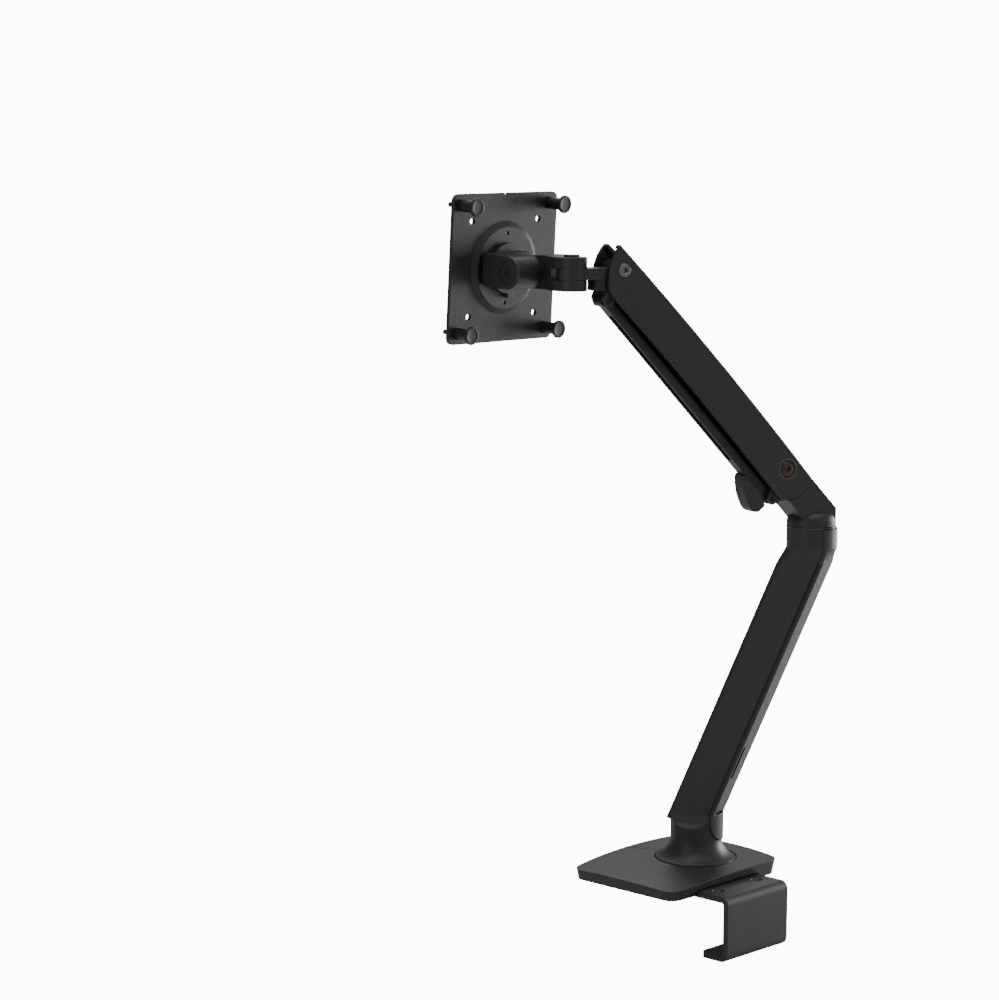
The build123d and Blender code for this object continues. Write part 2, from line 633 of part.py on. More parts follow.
def make_upper_arm():
    """Channel casing with its pivots, and the tension screw in front of the spring."""
    half = casing_width / 2
    wall = casing_wall
    outside = side_plate(casing_outline(0), -half, half)
    long_edges = [e for e in outside.edges() if e.length > 150 and e.center().Z > casing_top - 1
                  and abs(abs(e.center().Y) - half) < 0.01]
    outside = chamfer(long_edges, casing_round)
    inner_top = casing_top - wall
    cavity = side_plate([(-60, -60), (-60, inner_top), (0, inner_top),
                         ((arm_length / 2, inner_top + casing_arch), (arm_length, inner_top)),
                         (arm_length + 60, inner_top), (arm_length + 60, -60)],
                        -half + wall, half - wall)
    casing = outside - cavity
    notch = Pos(arm_length + ear_tip - notch_depth, 0, 0) * extrude(
        make_face([Line((0, -4), (40, -11.5)), Line((40, -11.5), (40, 11.5)),
                   Line((40, 11.5), (0, 4)), ThreePointArc((0, 4), (-3.2, 0), (0, -4))]), 60)
    casing = casing - notch
    rear_gate = side_plate([(-60, inner_top - 3), (-10, inner_top - 3), (-10, 40), (-60, 40)],
                           -half + wall, half - wall)
    casing = casing - (rear_gate & cross_pin(casing_end + 4, -half, half))
    casing = casing - cross_pin(pivot_radius, -half - 1, half + 1)
    casing = casing - cross_pin(front_pin_radius, -half - 1, half + 1, arm_length)
    for side in (-1, 1):
        face = side * half
        casing = casing - cross_pin(pivot_head, face - 1.4, face + 1.4)
        casing = casing - cross_pin(front_head_radius, face - 1.4, face + 1.4, arm_length)

    anchor_x = tube_end + tension_travel + 10
    cross_wall = block(anchor_x, anchor_x + 6, -half + wall, half - wall, -9, inner_top + 1.2)
    casing = casing + cross_wall - long_pin(tension_radius + run_gap, anchor_x - 1, anchor_x + 8)
    keep("arm_casing", casing, arm_frame)

    screw = cross_pin(pivot_radius, 4.2, half - 1.3)
    screw = screw + cross_pin(pivot_head - 0.35, half - 1.35, half + 0.8)
    dome_cap = Pos(0, half - 18.4, 0) * Sphere(19.2)
    screw = screw & (dome_cap + cross_pin(30, -40, half - 1.35))
    keep("pivot_screws", Compound([screw, Rot(0, 0, 180) * screw]), arm_frame)

    pin = cross_pin(front_pin_radius, -half + 0.2, half - 1.35, arm_length)
    head = cross_pin(front_head_radius - 0.3, half - 1.35, half + 0.5, arm_length)
    head = fillet(head.edges().group_by(Axis.Y)[-1], 0.7)
    hexagon = Pos(arm_length, half + 1, 0) * Rot(90, 0, 0) * extrude(RegularPolygon(2.3, 6), 3)
    keep("front_pin", pin + head - hexagon, arm_frame)
    nut = cross_pin(front_head_radius - 0.3, -half - 0.5, -half + 1.35, arm_length)
    nut = fillet(nut.edges().group_by(Axis.Y)[0], 0.7)
    keep("front_pin_nut", nut - cross_pin(front_pin_radius, -half + 0.2, 0, arm_length), arm_frame)

    screw_start = tube_end + tension_nut_long - tension_engaged
    screw = long_pin(tension_radius, screw_start, anchor_x + 6.2)
    head = long_pin(tension_radius + 1.8, anchor_x + 6.2, anchor_x + 10.2)
    hexagon = Pos(anchor_x + 8, 0, 0) * Rot(0, 90, 0) * extrude(RegularPolygon(2.3, 6), 4)
    keep("tension_screw", screw + head - hexagon, arm_frame)
    nut_half = half - wall - face_gap
    nut = block(tube_end, tube_end + tension_nut_long, -nut_half, nut_half, -6.5, 6.5)
    keep("tension_nut", nut - long_pin(tension_radius + run_gap, tube_end - 1, anchor_x), arm_frame)


def make_gas_spring():
    """Pressure tube on the tension nut, and the rod whose yoke sits on the crank pin."""
    tube = long_pin(tube_radius, tube_start, tube_end)
    tube = tube - long_pin(rod_radius + piston_proud + 2 * run_gap, tube_start + 8,
                           tube_end - tube_plug)
    tube = tube - long_pin(rod_radius + run_gap, tube_start - 1, tube_start + 9)
    tip_depth = tension_travel - tension_nut_long + tension_engaged + 2
    tube = tube - long_pin(tension_radius + face_gap, tube_end - tip_depth, tube_end + 1)
    keep("spring_tube", tube, arm_frame)

    heading_now = radians(crank_angle - arm_pitch)
    crank_x = spring_crank * cos(heading_now)
    deepest = -spring_crank - crank_radius - rod_slot_gap
    shallow = -spring_crank * cos(radians(47.5)) + crank_radius + rod_slot_gap
    half_slot = crank_radius + rod_slot_gap
    yoke = block(crank_x - half_slot - yoke_wall, crank_x + half_slot + 3.0, -yoke_half, yoke_half,
                 deepest - yoke_foot, yoke_top)
    yoke = fillet(yoke.edges().filter_by(Axis.Y), 1.2)
    yoke = yoke - block(crank_x - half_slot, crank_x + half_slot, -5, 5, deepest, shallow)
    rod = long_pin(rod_radius, crank_x + half_slot + 2.0, tube_start + piston_start)
    flats = rod & block(-50, tube_start - 30, -yoke_half, yoke_half, -10, 10)
    rod = flats + (rod & block(tube_start - 30, tube_end, -10, 10, -10, 10))
    keep("spring_yoke", yoke - rod, arm_frame)
    piston = long_pin(rod_radius + piston_proud, tube_start + piston_start,
                      tube_start + piston_start + piston_long)
    keep("spring_rod", rod + piston, arm_frame)


def make_link():
    """Levelling link under the casing, with the cable clip below its rear end."""
    half = link_width / 2
    rear = Location((link_offset, 0, -link_drop)) * Location((0, 0, 0), (0, -arm_pitch, 0))
    bar = block(0, arm_length, -half, half, -link_height / 2, link_height / 2)
    bar = bar + cross_pin(link_eye, -half, half) + cross_pin(link_eye, -half, half, arm_length)
    groove = block(48, arm_length - 14, -half + 2.2, half - 2.2, -10, -link_height / 2 + 4.2)
    bar = bar - groove
    bar = bar - cross_pin(link_pin_radius + run_gap, -20, 20)
    bar = bar - cross_pin(link_pin_radius, -20, 20, arm_length)
    keep("levelling_link", bar, knuckle_pin_frame * rear)
    pin_half = casing_width / 2 - casing_wall - 0.6
    pin = cross_pin(link_pin_radius, -pin_half, pin_half, arm_length)
    keep("link_front_pin", pin, knuckle_pin_frame * rear)

    base = -link_height / 2
    outline = [(8.0, base), (32.0, base), (31.8, -5.6),
               ((20.5, -14.4), (11.5, -18.0)),
               ((6.5, -18.9), (2.8, -18.2)), (0.4, -15.8), (-0.8, -8.2)]
    clip = side_plate(outline, -clip_half, clip_half)
    hollow = side_plate([(-6.0, -7.4), (26.0, -7.4), (28.0, -6.6),
                         ((19.0, -12.6), (10.5, -16.1)), (-3.0, -16.1)],
                        -clip_half + clip_wall, clip_half - clip_wall)
    clip = clip - hollow
    screw = Pos(19, 0, 0) * (post(1.5, -7.4, base + 3.0) + post(2.8, -8.6, -7.4))
    keep("cable_clip", clip - screw, knuckle_pin_frame * rear)
    keep("cable_clip_screw", screw, knuckle_pin_frame * rear)
    parts["levelling_link"] = parts["levelling_link"] - (knuckle_pin_frame * rear * screw)


# ================================================================ head
def make_clevis():
    """Levelled carrier at the front pivot, with the lug of the head's vertical joint."""
    half = casing_width / 2 - casing_wall - face_gap
    hub = cross_pin(8.0, -half, half)
    nose_front = head_reach - disc_radius - 3.7
    mid = -head_drop
    lug_low, lug_high = mid - lug_thick / 2, mid + lug_thick / 2
    nose_low = lug_low - fork_gap - fork_thick
    nose = block(0, nose_front - 6, -half, half, nose_low, lug_high)
    round_nose = post(half, nose_low, lug_high, nose_front - half)
    lug = block(10, head_reach, -disc_radius + 2.0, disc_radius - 2.0, lug_low, lug_high)
    lug = lug + post(disc_radius, lug_low, lug_high, head_reach)
    link_arm = side_plate([(-5, -5), (10, -4), (link_offset + 5, -link_drop + 2),
                           (link_offset + 2, -link_drop - 4.6), (link_offset - 3.5, -link_drop - 4.6),
                           (link_offset - 6, -link_drop + 3)], -half, half)
    body = hub + nose + round_nose + lug + link_arm
    slot_half = link_width / 2 + face_gap
    room = cross_pin(link_eye + 1.5, -slot_half, slot_half, link_offset, -link_drop)
    swing = block(-20, link_offset, -slot_half, slot_half, -60, -link_drop + 6.2)
    swing_low = block(-20, 30, -slot_half, slot_half, -60, -link_drop)
    body = body - room - swing - swing_low
    body = body - cross_pin(front_pin_radius + front_bush_wall + run_gap, -20, 20)
    body = body - cross_pin(link_pin_radius + run_gap, -20, 20, link_offset, -link_drop)
    body = body - post(head_screw_radius + head_bush_wall, -40, 40, head_reach)
    keep("front_clevis", body, clevis_frame)
    bush = cross_pin(front_pin_radius + front_bush_wall, -half, half)
    keep("front_bush", bush - cross_pin(front_pin_radius + run_gap, -20, 20), clevis_frame)
    head_bush = post(head_screw_radius + head_bush_wall, lug_low, lug_high, head_reach)
    head_bush = head_bush - post(head_screw_radius + run_gap, -40, 40, head_reach)
    keep("head_bush", head_bush, clevis_frame)


def make_fork():
    """Fork that turns about the upright head screw and carries half of the tilt barrel."""
    inner = lug_thick / 2 + fork_gap
    outer = inner + fork_thick
    far, near = barrel_far, barrel_split - face_gap
    seat = tilt_reach - barrel_radius
    levels = ((-outer, -inner), (inner, outer))
    body = None
    for low, high in levels:
        cheek = post(disc_radius, low, high)
        outline = make_face(Polyline((0, -disc_radius), (0, disc_radius), (8, disc_radius),
                                     (seat - 1.5, near), (seat + 8, near), (seat + 8, far),
                                     (seat - 2, far), (8, -disc_radius), close=True))
        cheek = cheek + extrude(Pos(0, 0, low) * outline, high - low)
        body = cheek if body is None else body + cheek
    web = extrude(Pos(0, 0, -outer) * make_face(Polyline(
        (disc_radius + 2.5, -disc_radius), (disc_radius + 2.5, disc_radius - 3.6),
        (seat - 1.5, near), (seat + 8, near), (seat + 8, far), (seat - 2, far), close=True)), 2 * outer)
    body = body + web
    body = body - Pos(tilt_reach, 0, 0) * Rot(90, 0, 0) * Cylinder(barrel_radius + face_gap, 200)
    barrel = cross_pin(barrel_radius, far, near, tilt_reach)
    barrel = barrel + block(seat - 2, tilt_reach, far, near, -barrel_radius, barrel_radius)
    body = body + barrel
    body = body - cross_pin(tilt_screw_radius + run_gap, -60, 60, tilt_reach)
    body = body - cross_pin(tilt_nut_radius + face_gap, far - 1, far + 4.0, tilt_reach)
    body = body - post(head_screw_radius, -40, 40) - post(head_cap_radius + 0.2, outer - 1.0, outer + 5)
    body = body - hex_post(head_nut_across + face_gap, -outer - 1, -outer + head_nut_high + face_gap)
    keep("swivel_fork", body, fork_frame)

    screw = post(head_screw_radius, -outer + 0.6, outer - 1.0)
    head = post(head_cap_radius, outer - 1.0, outer + head_cap_rise)
    head = fillet(head.edges().sort_by(Axis.Z)[-1], 1.0) - hex_post(4, outer + 0.2, outer + 3)
    keep("head_screw", screw + head, fork_frame)
    nut = hex_post(head_nut_across, -outer + face_gap, -outer + head_nut_high + face_gap)
    keep("head_nut", nut - post(head_screw_radius, -40, 0), fork_frame)
    washers = []
    for side in (-1, 1):
        level = side * (lug_thick + fork_gap) / 2
        washer = post(disc_radius - 2.5, level - 0.12, level + 0.12)
        washers.append(washer - post(head_screw_radius + 0.1, -40, 40))
    keep("head_washers", Compound(washers), fork_frame)


def make_tilt():
    """Tilt block: the near half of the barrel and the foot that carries the turning plate."""
    near, split = barrel_near, barrel_split
    front = plate_reach - plate_thick - dish_rise - turn_thick - face_gap
    r = barrel_radius
    barrel = cross_pin(r, split, near)
    arm = block(0, front, split, near, -r, r)
    corner_edges = arm.edges().filter_by(Axis.Y).group_by(Axis.X)[-1]
    arm = fillet(corner_edges, 4.0)
    foot = block(front - 7.0, front, -turn_radius + 1, near - 1.5, -r, r)
    foot = fillet(foot.edges().filter_by(Axis.X), 5.0)
    core = barrel + arm
    rim = [e for e in core.edges() if abs(e.center().Y - near) < 0.01]
    body = fillet(rim, 1.0) + foot
    body = body - cross_pin(tilt_screw_radius, -60, 60)
    body = body - cross_pin(tilt_cap_radius + 0.25, near - tilt_cap_seat, near + 5)
    body = body - long_pin(turn_shaft_radius + run_gap, front - 8, front + 1)
    body = body - long_pin(turn_nut_radius + 0.4, front - 9, front - turn_wall)
    keep("tilt_block", body, tilt_frame)

    screw = cross_pin(tilt_screw_radius, barrel_far + 0.6, near - tilt_cap_seat)
    keep("tilt_screw", screw, tilt_frame)
    cap = cross_pin(tilt_cap_radius, near - tilt_cap_seat, near + 0.5)
    cap = fillet(cap.edges().group_by(Axis.Y)[-1], 0.6)
    socket = Rot(90, 0, 0) * Pos(0, 0, -near - 1) * extrude(RegularPolygon(3, 6), 2.2)
    keep("tilt_cap", cap - socket, tilt_frame)
    nut = cross_pin(tilt_nut_radius, barrel_far + 0.5, barrel_far + 3.8)
    keep("tilt_nut", nut - cross_pin(tilt_screw_radius, -60, 60), tilt_frame)
    washer = cross_pin(barrel_radius - 3, barrel_split - face_gap + 0.05, barrel_split - 0.05)
    keep("tilt_washer", washer - cross_pin(tilt_screw_radius + 0.1, -60, 60), tilt_frame)


def make_plate():
    """Turning boss, mounting plate with its raised dish, and the thumb screws."""
    face = plate_reach
    outline = fillet(Rectangle(plate_side, plate_side).vertices(), plate_corner)
    stand = Location((face, 0, 0), (0, -90, 0))
    plate = extrude(outline, plate_thick)
    dish = Pos(0, 0, plate_thick) * loft([Circle(dish_radius + dish_bevel),
                                          Pos(0, 0, dish_rise) * Circle(dish_radius)])
    hollow = loft([Pos(0, 0, -0.01) * Circle(dish_radius + dish_bevel - 2.2),
                   Pos(0, 0, dish_rise) * Circle(dish_radius - 2.2)])
    plate = plate + dish - hollow
    notch = Pos(plate_side / 2, 0, -1) * extrude(Circle(2.0), plate_thick + 2)
    plate = plate - notch
    for pitch, radius in ((small_pitch, plate_hole_radius), (large_pitch, thumb_thread_radius + 0.3)):
        for x in (-1, 1):
            for y in (-1, 1):
                plate = plate - post(radius, -1, 20, x * pitch / 2, y * pitch / 2)
    for x, y in small_holes:
        plate = plate - post(small_hole_radius, -1, 20, x, y)
    plate = plate - post(turn_shaft_radius + run_gap, -1, 20)
    keep("mounting_plate", plate, tilt_frame * stand)

    top = plate_thick + dish_rise
    boss = post(turn_radius, top, top + turn_thick) - post(turn_shaft_radius + run_gap, 0, 40)
    stop = block(-turn_radius - stop_reach, -turn_radius + 4, -stop_width, 0, top, top + turn_thick)
    boss = boss + stop
    keep("turning_boss", boss, tilt_frame * stand)
    level = top + turn_thick + face_gap + turn_wall
    shaft = post(turn_shaft_radius, dish_rise, level + 4.6)
    shaft = shaft + post(shaft_flange, dish_rise - 2.0, dish_rise)
    keep("turning_shaft", shaft - hex_post(5, -5, dish_rise + 2.0), tilt_frame * stand)
    nut = post(turn_nut_radius, level + 0.1, level + 4.1) - post(turn_shaft_radius, 0, 40)
    keep("turning_nut", nut, tilt_frame * stand)
    circle = PolarLocations(boss_screw_circle, 4, start_angle=45)
    screw_shape = post(boss_screw_radius, dish_rise - 1.0, top + turn_thick - 0.5)
    screw_shape = screw_shape + post(boss_screw_head, dish_rise - 0.9, dish_rise - 0.1)
    screws = [place * screw_shape for place in circle]
    for screw in screws:
        placed = tilt_frame * stand * screw
        parts["turning_boss"] = parts["turning_boss"] - placed
        parts["mounting_plate"] = parts["mounting_plate"] - placed
    keep("boss_screws", Compound(screws), tilt_frame * stand)

    number = 0
    for y in (1, -1):
        for x in (1, -1):
            number += 1
            low = plate_thick
            screw = post(thumb_thread_radius, -thumb_thread_length, -thumb_shank_end)
            screw = screw + post(thumb_shank_radius, -thumb_shank_end, low + 1)
            screw = screw + post(thumb_neck_radius, low + 0.1, low + thumb_reach)
            head = post(thumb_head_radius, low + thumb_reach, low + thumb_reach + thumb_head_thick)
            head = fillet(head.edges().filter_by(GeomType.CIRCLE), 0.6)
            keep(f"thumb_screw_{number}", screw + head,
                 tilt_frame * stand * Pos(x * large_pitch / 2, y * large_pitch / 2, 0))


make_base()
make_clamp()
make_lower_arm()
make_elbow()
make_upper_arm()
make_gas_spring()
make_link()
make_clevis()
make_fork()
make_tilt()
make_plate()

os.makedirs("parts", exist_ok=True)
for name, shape in parts.items():
    export_step(shape, f"parts/{name}.step")
print(len(parts), "sub-parts")
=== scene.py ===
"""Desk-clamp monitor arm in its finishes, on a plain pale floor.

Everything is in metres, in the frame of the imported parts. New pieces are surfaces of two
parameters worked out as whole arrays; materials are expressions on shader sockets.
"""
import json
from math import cos, pi, radians, sin

import bpy
import numpy as np
from mathutils import Matrix, Vector


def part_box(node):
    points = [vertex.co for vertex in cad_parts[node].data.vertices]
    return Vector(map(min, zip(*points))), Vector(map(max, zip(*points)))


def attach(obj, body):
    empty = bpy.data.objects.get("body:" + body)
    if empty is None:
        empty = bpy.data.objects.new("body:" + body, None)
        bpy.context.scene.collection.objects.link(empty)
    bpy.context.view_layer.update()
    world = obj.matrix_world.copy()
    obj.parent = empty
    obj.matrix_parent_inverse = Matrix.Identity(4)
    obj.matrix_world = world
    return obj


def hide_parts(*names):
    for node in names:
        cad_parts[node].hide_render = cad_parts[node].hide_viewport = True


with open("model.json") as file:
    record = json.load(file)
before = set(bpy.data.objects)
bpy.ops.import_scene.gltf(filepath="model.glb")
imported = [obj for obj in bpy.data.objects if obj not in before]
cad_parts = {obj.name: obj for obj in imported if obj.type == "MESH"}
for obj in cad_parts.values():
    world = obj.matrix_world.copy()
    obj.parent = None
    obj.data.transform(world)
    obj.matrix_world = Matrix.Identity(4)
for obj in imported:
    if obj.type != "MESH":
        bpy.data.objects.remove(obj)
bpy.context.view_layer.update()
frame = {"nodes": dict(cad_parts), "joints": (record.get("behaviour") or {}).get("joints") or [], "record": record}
nodes = frame["nodes"]

# ------------------------------------------------------------------ camera and floor level
view_from = (1.8848, 1.5715, 0.6559)
view_heading = -136.26       # degrees from +X
view_drop = 7.863            # degrees below the level
view_roll = 0.322            # degrees about the line of sight
lens, sensor = 106.8, 36.0   # millimetres
far_clip = 50.0
floor_gap = 0.0005           # floor below the lowest piece
floor_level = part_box("clamp_bracket")[0][2] - floor_gap


# ------------------------------------------------------------------ shader expressions
# The colour sockets of a Mix node go by number, since they share their names with its others.
mix_low, mix_high, mix_result = 6, 7, 2


class Socket:
    """One output socket of a material's node tree; arithmetic on it adds Math nodes."""

    def __init__(self, tree, output):
        self.tree = tree
        self.output = output

    def node(self, kind, settings=None, inputs=None, out=0):
        """Any other node: its type, its settings, then the values or links of its sockets."""
        made = self.tree.nodes.new(kind)
        for name, value in (settings or {}).items():
            setattr(made, name, value)
        for name, value in (inputs or {}).items():
            if isinstance(value, Socket):
                self.tree.links.new(value.output, made.inputs[name])
            else:
                made.inputs[name].default_value = value
        return Socket(self.tree, made.outputs[out])

    def math(self, operation, *values):
        """A Math node on these values, each a number or a socket."""
        inputs = dict(enumerate(values))
        return self.node("ShaderNodeMath", {"operation": operation}, inputs)

    def __add__(self, other):
        return self.math("ADD", self, other)

    def __radd__(self, other):
        return self.math("ADD", other, self)

    def __sub__(self, other):
        return self.math("SUBTRACT", self, other)

    def __rsub__(self, other):
        return self.math("SUBTRACT", other, self)

    def __mul__(self, other):
        return self.math("MULTIPLY", self, other)

    def __rmul__(self, other):
        return self.math("MULTIPLY", other, self)

    def __truediv__(self, other):
        return self.math("DIVIDE", self, other)

    def __rtruediv__(self, other):
        return self.math("DIVIDE", other, self)

    def band(self, start, end):
        """0 at start, 1 at end, straight between and held beyond; start may be the greater."""
        share = (self - start) / (end - start)
        return self.math("MAXIMUM", self.math("MINIMUM", share, 1.0), 0.0)

    def noise(self, scale, detail, roughness):
        """Noise on these coordinates, with features about 1/scale metres across."""
        return self.node("ShaderNodeTexNoise", {},
                         {"Vector": self, "Scale": scale, "Detail": detail, "Roughness": roughness})

    def grain(self, scale):
        """Distance to the nearest of scattered points, for fine cells."""
        return self.node("ShaderNodeTexVoronoi", {}, {"Vector": self, "Scale": scale})

    def stretch(self, scale):
        """These coordinates multiplied along each axis, which draws a pattern out."""
        return self.node("ShaderNodeMapping", {"vector_type": "POINT"},
                         {"Vector": self, "Scale": scale})

    def blend(self, low, high):
        """Colour from low to high as this goes from 0 to 1."""
        return self.node("ShaderNodeMix", {"data_type": "RGBA"},
                         {"Factor": self, mix_low: rgba(low), mix_high: rgba(high)}, mix_result)


def rgba(colour):
    """A colour as a Mix node's socket takes it."""
    return colour if isinstance(colour, Socket) else (*colour, 1.0)


usual_rounding = 0.0008      # how round the edges look, in metres
moulded_rounding = 0.0015
bevel_samples = 4
edge_starts, edge_full = 0.995, 0.90     # cosine of the turn away from the flat face


class Finish:
    """A material with a Principled shader, and the sockets that its pattern starts from."""

    def __init__(self, name, rounding=usual_rounding, **constants):
        self.material = bpy.data.materials.new(name)
        self.material.use_nodes = True
        self.tree = self.material.node_tree
        self.shader = self.tree.nodes["Principled BSDF"]
        for socket, value in constants.items():
            self.shader.inputs[socket.replace("_", " ")].default_value = value
        start = Socket(self.tree, None)
        self.place = start.node("ShaderNodeTexCoord", out="Object")
        self.geometry_normal = start.node("ShaderNodeNewGeometry", out="Normal")
        self.round_normal = start.node("ShaderNodeBevel", {"samples": bevel_samples},
                                       {"Radius": rounding})

    def feed(self, **sockets):
        """Link these patterns to the shader's sockets and give back the material."""
        for name, value in sockets.items():
            self.tree.links.new(value.output, self.shader.inputs[name.replace("_", " ")])
        return self.material

    def edges(self):
        """1 on the outer rounding of an edge, 0 away from it."""
        same = self.round_normal.node("ShaderNodeVectorMath", {"operation": "DOT_PRODUCT"},
                                      {0: self.round_normal, 1: self.geometry_normal}, "Value")
        return same.band(edge_starts, edge_full)

    def bump(self, height, distance):
        """A normal that rises by this distance, in metres, where the height is 1."""
        return height.node("ShaderNodeBump", {},
                           {"Height": height, "Distance": distance, "Strength": 1.0,
                            "Normal": self.round_normal})


def scaled(colour, factor):
    """The same hue, lighter or darker."""
    return tuple(channel * factor for channel in colour)


def powder_coat(name, colour, grain_size=0.00055, depth=0.00004, gloss=0.42):
    """Baked powder: an orange-peel surface with fine grains, painted lighter along its edges as a painted
    highlight that is patchy like rubbed wear.
    """
    cloud_scale, rub_and_sheen_scale = 14.0, 160.0
    shade = 0.14
    # Share and brightness of the colour painted on the edges: painted highlight, patchy like rubbed wear.
    rub_and_sheen_share, rub_and_sheen_light = 0.6, 4.0
    finish = Finish(name, Specular_IOR_Level=0.5)
    peel = finish.place.noise(1.0 / grain_size, 2.0, 0.5)
    fine = finish.place.noise(4.0 / grain_size, 1.0, 0.5)
    cloud = finish.place.noise(cloud_scale, 4.0, 0.6)
    # Edge mask broken up by noise: where the painted edge highlight and rubbed wear go.
    rub_and_sheen = finish.edges() * finish.place.noise(rub_and_sheen_scale, 3.0, 0.6).band(0.35, 0.7)
    flat = cloud.band(0.3, 0.7).blend(scaled(colour, 1 - shade), scaled(colour, 1 + shade))
    base = (rub_and_sheen * rub_and_sheen_share).blend(flat, scaled(colour, rub_and_sheen_light))
    roughness = gloss + cloud * 0.08 + fine * 0.06 - rub_and_sheen * 0.10
    return finish.feed(Base_Color=base, Roughness=roughness,
                       Normal=finish.bump(peel * 0.8 + fine * 0.2, depth))


def moulded_plastic(name, colour, cell=0.00035, depth=0.00002, gloss=0.46,
                    rounding=moulded_rounding):
    """Moulded plastic with the spark-eroded texture of its tool."""
    cloud_scale = 30.0
    shade = 0.08
    finish = Finish(name, rounding, Specular_IOR_Level=0.45)
    cells = finish.place.grain(1.0 / cell)
    cloud = finish.place.noise(cloud_scale, 3.0, 0.5)
    base = cloud.band(0.3, 0.7).blend(scaled(colour, 1 - shade), scaled(colour, 1 + shade))
    roughness = gloss + cloud * 0.07 + cells * 0.05
    return finish.feed(Base_Color=base, Roughness=roughness, Normal=finish.bump(cells, depth))


faint_depth = 0.00001        # relief that only breaks up a reflection


def turned_steel(name, colour, gloss=0.30):
    """Machined steel with fine tool marks and faint tarnish."""
    mark_scale, mark_stretch = 1400.0, 9.0
    tarnish_scale, tarnished = 120.0, 0.72
    finish = Finish(name, Metallic=1.0)
    marks = finish.place.stretch((1.0, 1.0, mark_stretch)).noise(mark_scale, 2.0, 0.6)
    tarnish = finish.place.noise(tarnish_scale, 4.0, 0.6)
    base = tarnish.band(0.35, 0.75).blend(colour, scaled(colour, tarnished))
    roughness = gloss + marks * 0.12 + tarnish * 0.08
    return finish.feed(Base_Color=base, Roughness=roughness,
                       Normal=finish.bump(marks, faint_depth))


def black_oxide(name):
    """Steel blackened in a bath, with faint stains."""
    finish = Finish(name, Metallic=0.85)
    stain = finish.place.noise(300.0, 4.0, 0.6)
    base = stain.band(0.3, 0.75).blend((0.020, 0.020, 0.022), (0.045, 0.044, 0.046))
    return finish.feed(Base_Color=base, Roughness=0.36 + stain * 0.15,
                       Normal=finish.bump(stain, faint_depth))


def acetal(name):
    """Natural bearing plastic, slightly cloudy."""
    finish = Finish(name, Subsurface_Weight=0.05)
    cloud = finish.place.noise(80.0, 2.0, 0.5)
    base = cloud.blend((0.68, 0.67, 0.63), (0.76, 0.75, 0.72))
    return finish.feed(Base_Color=base, Roughness=0.38 + cloud * 0.1,
                       Normal=finish.bump(cloud, faint_depth))


def rubber(name):
    """Matt rubber with a pebbled face."""
    finish = Finish(name, Specular_IOR_Level=0.3)
    cells = finish.place.grain(900.0)
    cloud = finish.place.noise(60.0, 4.0, 0.6)
    base = cloud.blend((0.018, 0.018, 0.018), (0.034, 0.033, 0.032))
    return finish.feed(Base_Color=base, Roughness=0.72 + cloud * 0.15,
                       Normal=finish.bump(cells, 0.00005))


charcoal = (0.0125, 0.0128, 0.0142)
plastic_black = (0.0115, 0.0118, 0.0130)
warm_grey = (0.020, 0.0193, 0.0175)

finishes = {
    "powder_coat": powder_coat("charcoal_powder", charcoal),
    "coated_steel": powder_coat("charcoal_powder_steel", charcoal, 0.0005, 0.00003, 0.44),
    "tilt_coat": powder_coat("warm_powder", warm_grey, 0.0004, 0.00002, 0.34),
    "cover_plastic": moulded_plastic("cover_plastic", scaled(plastic_black, 1.15)),
    "thumb_plastic": moulded_plastic("thumb_plastic", scaled(plastic_black, 0.75),
                                     0.0003, 0.00001, 0.42),
    "ring_plastic": moulded_plastic("ring_plastic", (0.05, 0.05, 0.055), 0.0003, 0.00001, 0.2),
    "steel_pin": turned_steel("turned_steel", (0.20, 0.195, 0.19)),
    "rod_chrome": turned_steel("chromed_rod", (0.78, 0.78, 0.78), 0.10),
    "black_steel": black_oxide("black_oxide"),
    "spring_tube": powder_coat("tube_gloss", (0.010, 0.010, 0.011), 0.002, 0.00001, 0.22),
    "bush_plastic": acetal("acetal"),
    "pad_rubber": rubber("pad_rubber"),
    # Lighter copies of the cover plastic for the strip and the clip: painted light on their lit faces.
    "strip_plastic_painted_lit": moulded_plastic("strip_plastic_painted_lit", scaled(plastic_black, 2.2)),
    "clip_plastic_painted_lit": moulded_plastic("clip_plastic_painted_lit", scaled(plastic_black, 1.7)),
    "pivot_bronze": turned_steel("dark_bronze", (0.075, 0.062, 0.052), 0.36),
    "light_rim": moulded_plastic("light_rim_plastic", (0.09, 0.09, 0.092), 0.0003, 0.00001, 0.35, 0.0002),
}

# The strip and the clip get lighter copies of the cover plastic: painted light, for the light that falls on their
# faces.
finish_of = {part["node"]: part["material_slot"] for part in frame["record"]["subparts"]}
finish_of["cable_strip"] = "strip_plastic_painted_lit"
finish_of["cable_clip"] = "clip_plastic_painted_lit"
for name, node in nodes.items():
    node.data.materials.clear()
    node.data.materials.append(finishes[finish_of[name]])


# ------------------------------------------------------------------ turned pieces
longest_cut = 0.45           # share of a side that a softened corner may take


def softened(points, radius, steps=4):
    """The corners of a (radius, height, hexness) outline, each replaced by a short curve.

    Each inner corner gives way to a quadratic curve between the points that lie the given
    distance before and after it, or a little under half of the shorter side where that is less.
    """
    outline = np.array(points, dtype=float)
    before, corner, after = outline[:-2], outline[1:-1], outline[2:]
    back, ahead = before - corner, after - corner
    back_long = np.linalg.norm(back[:, :2], axis=1)
    ahead_long = np.linalg.norm(ahead[:, :2], axis=1)
    cut = np.minimum(radius, longest_cut * np.minimum(back_long, ahead_long))
    start = corner + back * (cut / back_long)[:, None]
    end = corner + ahead * (cut / ahead_long)[:, None]
    t = np.linspace(0.0, 1.0, steps + 1)[None, :, None]
    curves = start[:, None] * (1 - t) ** 2 + corner[:, None] * 2 * t * (1 - t) + end[:, None] * t ** 2
    return np.vstack([outline[:1], curves.reshape(-1, 3), outline[-1:]])


